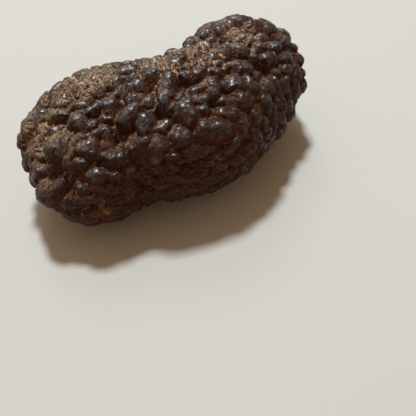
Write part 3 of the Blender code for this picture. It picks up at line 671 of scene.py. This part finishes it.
SPECKLE_EDGE = 0.3  # how far the speckle breaks up the edge between crest and crease
STREAK_EDGE = 0.25  # how far the streaks break up the same edge
CLOUD_EDGE = 0.6  # how far the cloud breaks up the edge between dust and rust, which is also the edge between painted light and painted shade

# Dust lies on what faces left, back and up, and there is more of it towards the left and the back
# of the nodule. The same share also paints light: the tan is painted light on faces towards the
# back and up, where the main light comes from, and the dark rust is painted shade on faces turned
# to the front and down.
DUST_AND_LIGHT_FACING = (-0.3, 0.36, 0.65)  # weights of the normal's three parts
DUST_AND_LIGHT_SIDE = (-3.5, 9.0, 0.0)  # weights of the place's three parts, in metres

# Places where dust lies thick over the knobs too: latitude, longitude and radius.
DUSTY_PLACES = ((6, 80, 11.0), (-24, 66, 9.0), (-60, 80, 7.0), (17, 101, 7.0), (31, 90, 6.0))
DRIFT_DULLS = 0.12  # how much less counts as crest there
DRIFT_DUST = 0.45  # how much dustier it is there
SPOT_CORE = 0.3  # share of the radius of such a place, or of a stain, inside which it is whole
EMBER_SHARE = 0.3  # grains left where there is no dust
SIDE_GRAINS = 0.3  # share of the grains that lie on the sides of the knobs
SIDE_STREAKS = (0.42, 0.9)  # share of the streaks there, and where dust lies thick

GLOSS_SPREAD = (-0.10, 0.14)  # how far the roughness of the knobs varies
MINERAL_IOR = 1.45
MINERAL_SPECULAR = 0.3
BUMP_STREAK = 1.2  # height of the streaks, next to pitting of height 1
BUMP_THREAD = 0.5  # height of the threads of dust
BUMP_POLISHED = 0.2  # share of the bump that is left on the polished knobs
BUMP_STRENGTH = 1.0
BUMP_DISTANCE = 0.00028

# Stains here and there, and two painted golden highlights: latitude, longitude, radius, strength
# and colour.
STAINS_AND_GLINTS = (
    # The first two, on knobs near the left end, are painted golden highlights.
    (-43, 80, 2.4, 0.5, (0.62, 0.43, 0.20)),
    (-52, 81, 2.0, 0.5, (0.62, 0.43, 0.20)),
    (-43, 124, 2.2, 0.45, (0.50, 0.33, 0.20)),
    (-32, 133, 2.6, 0.6, (0.10, 0.028, 0.014)),
    (-17, 157, 2.0, 0.5, (0.30, 0.14, 0.03)),
    (-38, 196, 2.8, 0.5, (0.42, 0.19, 0.04)),
    (2, 170, 1.8, 0.6, (0.50, 0.20, 0.03)),
    (37, 87, 2.2, 0.5, (0.62, 0.40, 0.31)),
    (43, 126, 1.7, 0.35, (0.42, 0.33, 0.12)),
)


def spot_mask(nodes, place, latitude, longitude, radius):
    """1 at a place on the nodule, fading to 0 at this radius in millimetres."""
    inputs = {0: place, 1: tuple((place_on_body(latitude, longitude) - ORIGIN) * METRE)}
    gap = nodes.add("ShaderNodeVectorMath", inputs, operation="DISTANCE").outputs["Value"]
    return nodes.band(gap, radius * METRE, SPOT_CORE * radius * METRE)


def dust_drift(nodes, place):
    """1 where dust lies thick over the knobs too."""
    drift = 0.0
    for spot in DUSTY_PLACES:
        drift = nodes.maths("ADD", spot_mask(nodes, place, *spot), drift, clamp=True)
    return drift


def crest_level(nodes, speckle, streak, drift):
    """How much a point counts as crest, with a broken edge."""
    level = nodes.centred(nodes.attribute("crest"), speckle, SPECKLE_EDGE)
    level = nodes.centred(level, streak, STREAK_EDGE)
    return nodes.maths("SUBTRACT", level, nodes.maths("MULTIPLY", drift, DRIFT_DULLS))


def dust_and_light_share(nodes, place, normal, cloud, drift):
    """1 where the creases hold tan dust and painted light, 0 where they are rusty and in painted
    shade.
    """
    share = nodes.maths("ADD", nodes.dot(normal, DUST_AND_LIGHT_FACING), nodes.dot(place, DUST_AND_LIGHT_SIDE))
    share = nodes.maths("ADD", share, nodes.maths("MULTIPLY", drift, DRIFT_DUST))
    return nodes.band(nodes.centred(share, cloud, CLOUD_EDGE), *DUST_AND_LIGHT_BAND)


def with_stains_and_glints(nodes, colour, place, texture):
    """The colour with the stains and the painted golden highlights laid over it."""
    for *spot, strength, stain in STAINS_AND_GLINTS:
        share = nodes.maths("MULTIPLY", spot_mask(nodes, place, *spot), strength)
        share = nodes.maths("MULTIPLY", share, nodes.band(texture, *STAIN_BAND))
        colour = nodes.mix(share, colour, (*stain, 1.0))
    return colour


def marcasite_material(settings):
    """Near-black glossy crests, tan dust in the upper creases and red rust in the lower ones, laid
    out partly as painted light and shade, with painted shade on crest faces that turn down and two
    painted golden highlights.
    """
    material = bpy.data.materials.new("marcasite")
    material.use_nodes = True
    nodes = Nodes(material)
    shader = material.node_tree.nodes["Principled BSDF"]
    place = nodes.add("ShaderNodeTexCoord").outputs["Object"]
    normal = nodes.add("ShaderNodeNewGeometry").outputs["Normal"]
    facing_up = nodes.add("ShaderNodeSeparateXYZ", {0: normal}).outputs["Z"]
    speckle = nodes.noise(place, *SPECKLE)
    cloud = nodes.noise(place, *CLOUD)
    threads = nodes.threads(nodes.noise(place, *THREAD), THREAD_WIDTH)
    streak = nodes.noise(nodes.attribute("spoke", "Vector"), *STREAK)
    drift = dust_drift(nodes, place)
    level = crest_level(nodes, speckle, streak, drift)
    crest = nodes.band(level, *CREST_BAND)
    # Tan dust, and also painted light on faces towards the main light; rust, and also painted
    # shade on faces turned away from it.
    dust_and_light = dust_and_light_share(nodes, place, normal, cloud, drift)

    grains = nodes.maths("MAXIMUM", threads, nodes.band(speckle, *GRAINS_BAND))
    grains = nodes.maths("MULTIPLY", grains, nodes.blend(dust_and_light, EMBER_SHARE, 1.0))
    grain_colour = nodes.mix(dust_and_light, settings.ember_colour, settings.dust_colour)
    crease_colour = nodes.mix(dust_and_light, settings.rust_colour, settings.earth_and_shade_colour)
    crease_colour = nodes.mix(grains, crease_colour, grain_colour)

    fibres = nodes.maths("MULTIPLY", nodes.band(streak, *FIBRES_BAND), dust_and_light)
    side_colour = nodes.mix(fibres, settings.earth_and_shade_colour, settings.tarnish_colour)
    streaks = nodes.band(streak, *STREAKS_BAND)
    streaks = nodes.maths("MULTIPLY", streaks, nodes.blend(drift, *SIDE_STREAKS))
    side_dust = nodes.maths("MULTIPLY", grains, SIDE_GRAINS)
    side_dust = nodes.maths("ADD", side_dust, streaks, clamp=True)
    side_colour = nodes.mix(side_dust, side_colour, grain_colour)

    tarnish = nodes.band(cloud, *TARNISH_BAND)
    crest_colour = nodes.mix(tarnish, settings.crest_colour, settings.tarnish_colour)
    # Crest faces that turn from up are painted with the dark earth colour as painted shade, in
    # place of their reflection of the pale floor; the speckle breaks this up.
    speckled_lit_share = nodes.band(speckle, *BRIGHT_BAND)
    speckled_lit_share = nodes.maths("MULTIPLY", speckled_lit_share, nodes.band(facing_up, *UPRIGHT_BAND))
    crest_colour = nodes.mix(speckled_lit_share, settings.earth_and_shade_colour, crest_colour)

    colour = nodes.mix(nodes.band(level, *SIDE_BAND), crease_colour, side_colour)
    colour = nodes.mix(crest, colour, crest_colour)
    colour = with_stains_and_glints(nodes, colour, place, nodes.maths("ADD", speckle, grains))
    nodes.feed(shader.inputs["Base Color"], colour)

    polish = nodes.band(level, *POLISH_BAND)
    gloss = nodes.blend(speckle, *(settings.crest_roughness + spread for spread in GLOSS_SPREAD))
    nodes.feed(shader.inputs["Roughness"], nodes.blend(polish, settings.crease_roughness, gloss))
    nodes.feed(shader.inputs["Metallic"], nodes.blend(crest, 0.0, settings.crest_metal))
    shader.inputs["IOR"].default_value = MINERAL_IOR
    shader.inputs["Specular IOR Level"].default_value = MINERAL_SPECULAR
    shader.inputs["Specular Tint"].default_value = settings.sheen_colour

    height = nodes.noise(place, *PITTING)
    height = nodes.maths("ADD", height, nodes.maths("MULTIPLY", streak, BUMP_STREAK))
    height = nodes.maths("ADD", height, nodes.maths("MULTIPLY", threads, BUMP_THREAD))
    height = nodes.maths("MULTIPLY", height, nodes.blend(polish, 1.0, BUMP_POLISHED))
    inputs = {"Height": height, "Strength": BUMP_STRENGTH, "Distance": BUMP_DISTANCE}
    bump = nodes.add("ShaderNodeBump", inputs)
    nodes.feed(shader.inputs["Normal"], bump.outputs["Normal"])
    return material


def colour_property(name, description, *colour):
    return FloatVectorProperty(
        name=name, description=description, subtype="COLOR", size=len(colour),
        default=colour, min=0.0, max=1.0,
    )


def number_property(name, description, number, lowest, highest):
    return FloatProperty(
        name=name, description=description, default=number, min=lowest, max=highest,
    )


class NoduleSettings(bpy.types.PropertyGroup):
    """Sizes and colours of the nodule."""

    skin_step: number_property(
        "Skin step", "Mesh step of the first, smooth skin, in millimetres", 0.3, 0.1, 1.0,
    )
    fine_step: number_property(
        "Fine step", "Mesh step of the knobs and their grain, in millimetres", 0.24, 0.1, 1.0,
    )
    triangles: IntProperty(
        name="Triangles", description="Triangles in the finished mesh", default=194000, min=5000,
    )
    crest_colour: colour_property(
        "Crests", "Fresh mineral on the knobs", 0.150, 0.155, 0.168, 1.0,
    )
    tarnish_colour: colour_property(
        "Tarnish", "Brown tarnish that clouds the knobs", 0.085, 0.044, 0.026, 1.0,
    )
    # The dust and rust colours are laid out partly as painted light and painted shade.
    dust_colour: colour_property("Dust", "Tan dust in the upper creases", 0.90, 0.61, 0.38, 1.0)
    rust_colour: colour_property(
        "Rust", "Red rust in the lower creases", 0.105, 0.036, 0.016, 1.0,
    )
    ember_colour: colour_property(
        "Ember", "Orange grains among the red rust", 0.27, 0.095, 0.032, 1.0,
    )
    # Also the painted shade on crest faces that turn down.
    earth_and_shade_colour: colour_property(
        "Earth", "Dark grains among the dust and rust", 0.040, 0.018, 0.009, 1.0,
    )
    sheen_colour: colour_property("Sheen", "Tint of the gloss", 0.80, 0.90, 1.0, 1.0)
    crest_roughness: number_property(
        "Crest roughness", "Roughness of the knobs", 0.26, 0.1, 0.9,
    )
    crease_roughness: number_property(
        "Crease roughness", "Roughness between the knobs", 0.85, 0.1, 1.0,
    )
    crest_metal: number_property("Crest metal", "How metallic the knobs are", 0.75, 0.0, 1.0)


class MESH_OT_marcasite_nodule(bpy.types.Operator):
    """Sculpt the knobby nodule in place of its plain solid"""

    bl_idname = "mesh.marcasite_nodule"
    bl_label = "Marcasite Nodule"

    def execute(self, context):
        settings = context.scene.nodule_settings
        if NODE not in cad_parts:
            raise RuntimeError(f"the frame has no solid named {NODE}")
        piece = sculpt_nodule(settings)
        piece.name = "knobby_nodule"
        piece.data.materials.append(marcasite_material(settings))
        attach(piece, BODY)
        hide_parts(NODE)
        return {"FINISHED"}


# ---------------------------------------------------------------------------------------
# Stage: floor, lights and camera.
# ---------------------------------------------------------------------------------------
CAMERA_PLACE = (-47.287, -125.131, 134.419)  # in millimetres, from the lobes' own zero
CAMERA_LOOK = (0.26462, 0.60611, -0.75007)
CAMERA_UP = (0.39656, 0.64060, 0.65755)
LENS = 64.03  # focal length for this width of sensor
SENSOR = 36.0
CAMERA_NEAR = 0.01  # nothing nearer than this is drawn
KEY_FROM = (67.7, 72.0)  # azimuth from +X and elevation that the main light comes from
SKY_FROM = (75.0, 50.0)  # the same for the wide cool light
WALL_FROM = (100.0, 55.0)  # and for the wide warm one
KEY_TINT = (0.87, 0.96, 1.0)
SKY_TINT = (0.72, 0.86, 1.0)
PANEL_DISTANCE = 1.2  # from the nodule to the two wide lights
LIGHT_TARGET = (0.0, 0.0, 0.015)  # what all three lights face, inside the nodule
FLOOR_ROUGHNESS = 0.7


def length_property(name, description, length):
    return FloatProperty(
        name=name, description=description, default=length, subtype="DISTANCE", unit="LENGTH",
    )


def power_property(name, description, power):
    return FloatProperty(name=name, description=description, default=power, subtype="POWER")


class StageSettings(bpy.types.PropertyGroup):
    """Floor and lights."""

    floor_colour: colour_property("Floor", "Colour of the plain floor", 0.73, 0.725, 0.69, 1.0)
    floor_size: length_property("Floor size", "Side of the square floor", 6.0)
    key_power: power_property("Main light", "Power of the main light", 4.6)
    key_size: length_property("Main light size", "Side of the main light's panel", 0.10)
    key_distance: length_property(
        "Main light distance", "From the nodule to the main light", 0.8,
    )
    sky_power: power_property("Sky light", "Power of the wide cool light", 1.5)
    sky_size: length_property("Sky light size", "Side of the wide cool light's panel", 0.4)
    wall_power: power_property("Wall light", "Power of the wide warm light", 1.2)
    wall_size: length_property("Wall light size", "Side of the wide warm light's panel", 1.4)
    room_strength: FloatProperty(
        name="Room light", description="Strength of the light all round", default=0.28,
    )
    room_colour: colour_property(
        "Room light colour", "Colour of the light all round", 1.0, 0.68, 0.42,
    )


def floor_object(settings):
    mesh = bpy.data.meshes.new("floor")
    bm = bmesh.new()
    bmesh.ops.create_grid(bm, x_segments=1, y_segments=1, size=settings.floor_size / 2.0)
    bm.to_mesh(mesh)
    bm.free()
    floor = bpy.data.objects.new("floor", mesh)
    material = bpy.data.materials.new("plain_floor")
    material.use_nodes = True
    shader = material.node_tree.nodes["Principled BSDF"]
    shader.inputs["Base Color"].default_value = settings.floor_colour
    shader.inputs["Roughness"].default_value = FLOOR_ROUGHNESS
    mesh.materials.append(material)
    bpy.context.scene.collection.objects.link(floor)
    return floor


def panel_light(name, direction, distance, size, power, colour):
    """A square light panel that faces the nodule from this direction."""
    light = bpy.data.lights.new(name, "AREA")
    light.shape = "SQUARE"
    light.size = size
    light.energy = power
    light.color = colour
    obj = bpy.data.objects.new(name, light)
    bpy.context.scene.collection.objects.link(obj)
    turn, lift = (math.radians(angle) for angle in direction)
    level = math.cos(lift)
    away = Vector((math.cos(turn) * level, math.sin(turn) * level, math.sin(lift)))
    obj.location = Vector(LIGHT_TARGET) + away * distance
    obj.rotation_euler = away.to_track_quat("Z", "Y").to_euler()


def room_light(settings):
    world = bpy.data.worlds.new("room")
    world.use_nodes = True
    background = world.node_tree.nodes["Background"]
    background.inputs["Color"].default_value = (*settings.room_colour, 1.0)
    background.inputs["Strength"].default_value = settings.room_strength
    bpy.context.scene.world = world


def camera_object():
    camera = bpy.data.cameras.new("camera")
    camera.sensor_width = SENSOR
    camera.lens = LENS
    camera.clip_start = CAMERA_NEAR
    obj = bpy.data.objects.new("camera", camera)
    look, up = Vector(CAMERA_LOOK).normalized(), Vector(CAMERA_UP)
    right = look.cross(up).normalized()
    turn = Matrix((right, right.cross(look), -look)).transposed()
    place = (Vector(CAMERA_PLACE) - Vector(ORIGIN)) * METRE
    obj.matrix_world = Matrix.Translation(place) @ turn.to_4x4()
    bpy.context.scene.collection.objects.link(obj)
    return obj


class SCENE_OT_nodule_stage(bpy.types.Operator):
    """Add the plain floor, the lights and the camera"""

    bl_idname = "scene.nodule_stage"
    bl_label = "Nodule Stage"

    def execute(self, context):
        settings = context.scene.nodule_stage_settings
        floor_object(settings)
        panel_light(
            "main_light", KEY_FROM, settings.key_distance, settings.key_size,
            settings.key_power, KEY_TINT,
        )
        panel_light(
            "sky_light", SKY_FROM, PANEL_DISTANCE, settings.sky_size,
            settings.sky_power, SKY_TINT,
        )
        panel_light(
            "wall_light", WALL_FROM, PANEL_DISTANCE, settings.wall_size,
            settings.wall_power, settings.room_colour,
        )
        room_light(settings)
        context.scene.camera = camera_object()
        context.scene.view_settings.view_transform = "Standard"
        return {"FINISHED"}


class VIEW3D_PT_marcasite_nodule(bpy.types.Panel):
    """Lists the nodule's builders and their settings"""

    bl_idname = "VIEW3D_PT_marcasite_nodule"
    bl_label = "Marcasite Nodule"
    bl_space_type = "VIEW_3D"
    bl_region_type = "UI"
    bl_category = "Nodule"

    def draw(self, context):
        for operator, settings in (
            (MESH_OT_marcasite_nodule, context.scene.nodule_settings),
            (SCENE_OT_nodule_stage, context.scene.nodule_stage_settings),
        ):
            box = self.layout.box()
            for name in settings.__annotations__:
                box.prop(settings, name)
            box.operator(operator.bl_idname)


CLASSES = (
    NoduleSettings,
    StageSettings,
    MESH_OT_marcasite_nodule,
    SCENE_OT_nodule_stage,
    VIEW3D_PT_marcasite_nodule,
)


def register():
    for cls in CLASSES:
        bpy.utils.register_class(cls)
    bpy.types.Scene.nodule_settings = PointerProperty(type=NoduleSettings)
    bpy.types.Scene.nodule_stage_settings = PointerProperty(type=StageSettings)


def unregister():
    del bpy.types.Scene.nodule_stage_settings
    del bpy.types.Scene.nodule_settings
    for cls in reversed(CLASSES):
        bpy.utils.unregister_class(cls)


def main():
    register()
    bpy.ops.mesh.marcasite_nodule()
    bpy.ops.scene.nodule_stage()
    bpy.context.view_layer.update()


if __name__ == "__main__":
    main()
